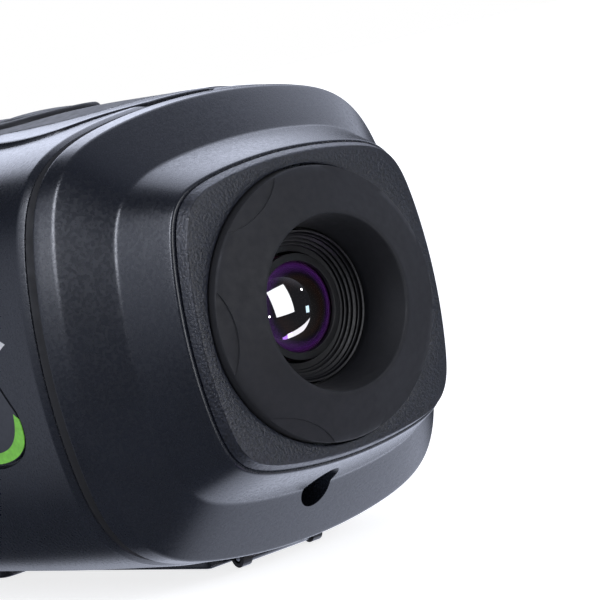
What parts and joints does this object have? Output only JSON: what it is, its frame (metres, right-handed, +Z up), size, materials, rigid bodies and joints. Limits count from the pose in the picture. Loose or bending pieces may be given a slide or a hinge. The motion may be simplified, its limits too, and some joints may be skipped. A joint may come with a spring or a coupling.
{
  "type": "handheld thermal imaging monocular",
  "caption": "Handheld thermal monocular: square flared nose with a focus ring round its lens, a keypad on top, a hinged belly battery door, a tripod foot and a flared eyecup.",
  "frame": {"origin": "bottom centre of the part's box: the underside of the tripod foot, midway between lens lip and eyecup rim", "axes": "+Z up, +Y along the optical axis from the objective to the eyepiece, +X to the right of someone facing the lens"},
  "size_m": [0.066, 0.1736, 0.0673],
  "materials": {
    "shell": "satin fine-textured blue-charcoal plastic",
    "bezel": "coarse spark-eroded dark grey plastic",
    "rubber": "matt soft-touch black rubber",
    "anodised": "black anodised, finely turned",
    "metal": "plain satin steel",
    "brass": "turned brass",
    "board": "green solder mask",
    "chip": "black moulded resin",
    "glass": "dark coated lens with a magenta reflection",
    "label": "glossy black inlay with a green edge stripe",
    "cell": "blue shrink sleeve"
  },
  "bodies": {
    "housing": {"body_shell_left": "shell", "body_shell_right": "shell", "nose_shell": "shell", "top_cover": "shell", "belly_plate": "shell", "rear_cap": "shell", "front_bezel": "bezel", "nose_gasket": "rubber", "rear_gasket": "rubber", "keypad": "rubber", "eyecup": "rubber", "front_bulkhead": "anodised", "objective_housing": "anodised", "eyepiece_tube": "anodised", "shutter_motor": "metal", "detector": "metal", "shell_screw_1": "metal", "shell_screw_2": "metal", "shell_screw_3": "metal", "shell_screw_4": "metal", "tact_switch_1": "metal", "tact_switch_2": "metal", "tact_switch_3": "metal", "tact_switch_4": "metal", "usb_connector": "metal", "port_hinge_pin": "metal", "door_hinge_pin": "metal", "contact_positive": "metal", "contact_spring": "metal", "belly_screw": "metal", "display_bracket": "metal", "tripod_bush": "brass", "detector_board": "board", "button_board": "board", "main_board": "board", "shutter_housing": "chip", "battery_tray": "chip", "display_module": "chip", "side_label": "label", "battery_cell": "cell"},
    "focus_ring": {"focus_ring": "rubber", "focus_clip": "metal", "focus_seal": "rubber"},
    "lens_cell": {"lens_cell": "anodised", "lens_retainer": "anodised", "front_lens": "glass", "rear_lens": "glass"},
    "shutter": {"shutter_flag": "chip"},
    "battery_door": {"battery_door": "shell"},
    "door_latch": {"door_latch": "rubber"},
    "port_cover": {"port_cover": "rubber"},
    "diopter_ring": {"diopter_ring": "rubber"},
    "eyepiece_cell": {"eyepiece_cell": "anodised", "eyepiece_lens_front": "glass", "eyepiece_lens_rear": "glass", "eyepiece_retainer": "anodised"},
    "button_power": {"button_power": "rubber"},
    "button_menu": {"button_menu": "rubber"},
    "button_palette": {"button_palette": "rubber"},
    "button_capture": {"button_capture": "rubber"}
  },
  "joints": [
    {"name": "focus_turn", "type": "hinge", "parent": "housing", "child": "focus_ring", "pos_m": [0, -0.08325, 0.0343], "axis": [0, 1, 0], "range_deg": [-90, 90]},
    {"name": "focus_travel", "type": "slide", "parent": "housing", "child": "lens_cell", "axis": [0, 1, 0], "range_m": [-0.0006, 0.0006]},
    {"name": "shutter_swing", "type": "hinge", "parent": "housing", "child": "shutter", "pos_m": [0, -0.05105, 0.0473], "axis": [0, 1, 0], "range_deg": [0, 78]},
    {"name": "door_swing", "type": "hinge", "parent": "housing", "child": "battery_door", "pos_m": [0, -0.06175, 0.0017], "axis": [-1, 0, 0], "range_deg": [0, 100]},
    {"name": "latch_slide", "type": "slide", "parent": "battery_door", "child": "door_latch", "axis": [0, -1, 0], "range_m": [0, 0.0025]},
    {"name": "port_cover_swing", "type": "hinge", "parent": "housing", "child": "port_cover", "pos_m": [0.03, 0.00815, 0.0463], "axis": [0, 0, -1], "range_deg": [0, 95]},
    {"name": "diopter_turn", "type": "hinge", "parent": "housing", "child": "diopter_ring", "pos_m": [0, 0.05715, 0.0343], "axis": [0, 1, 0], "range_deg": [-60, 60]},
    {"name": "diopter_travel", "type": "slide", "parent": "housing", "child": "eyepiece_cell", "axis": [0, 1, 0], "range_m": [-0.0015, 0.0015]},
    {"name": "power_press", "type": "slide", "parent": "housing", "child": "button_power", "axis": [0, 0, -1], "range_m": [0, 0.0006], "stiffness_N_per_m": 3000},
    {"name": "menu_press", "type": "slide", "parent": "housing", "child": "button_menu", "axis": [0, 0, -1], "range_m": [0, 0.0006], "stiffness_N_per_m": 3000},
    {"name": "palette_press", "type": "slide", "parent": "housing", "child": "button_palette", "axis": [0, 0, -1], "range_m": [0, 0.0006], "stiffness_N_per_m": 3000},
    {"name": "capture_press", "type": "slide", "parent": "housing", "child": "button_capture", "axis": [0, 0, -1], "range_m": [0, 0.0006], "stiffness_N_per_m": 3000}
  ],
  "couplings": [
    {"joint": "focus_turn", "follows": "focus_travel", "rad_per_m": 2631.6},
    {"joint": "diopter_turn", "follows": "diopter_travel", "rad_per_m": 699.3}
  ]
}
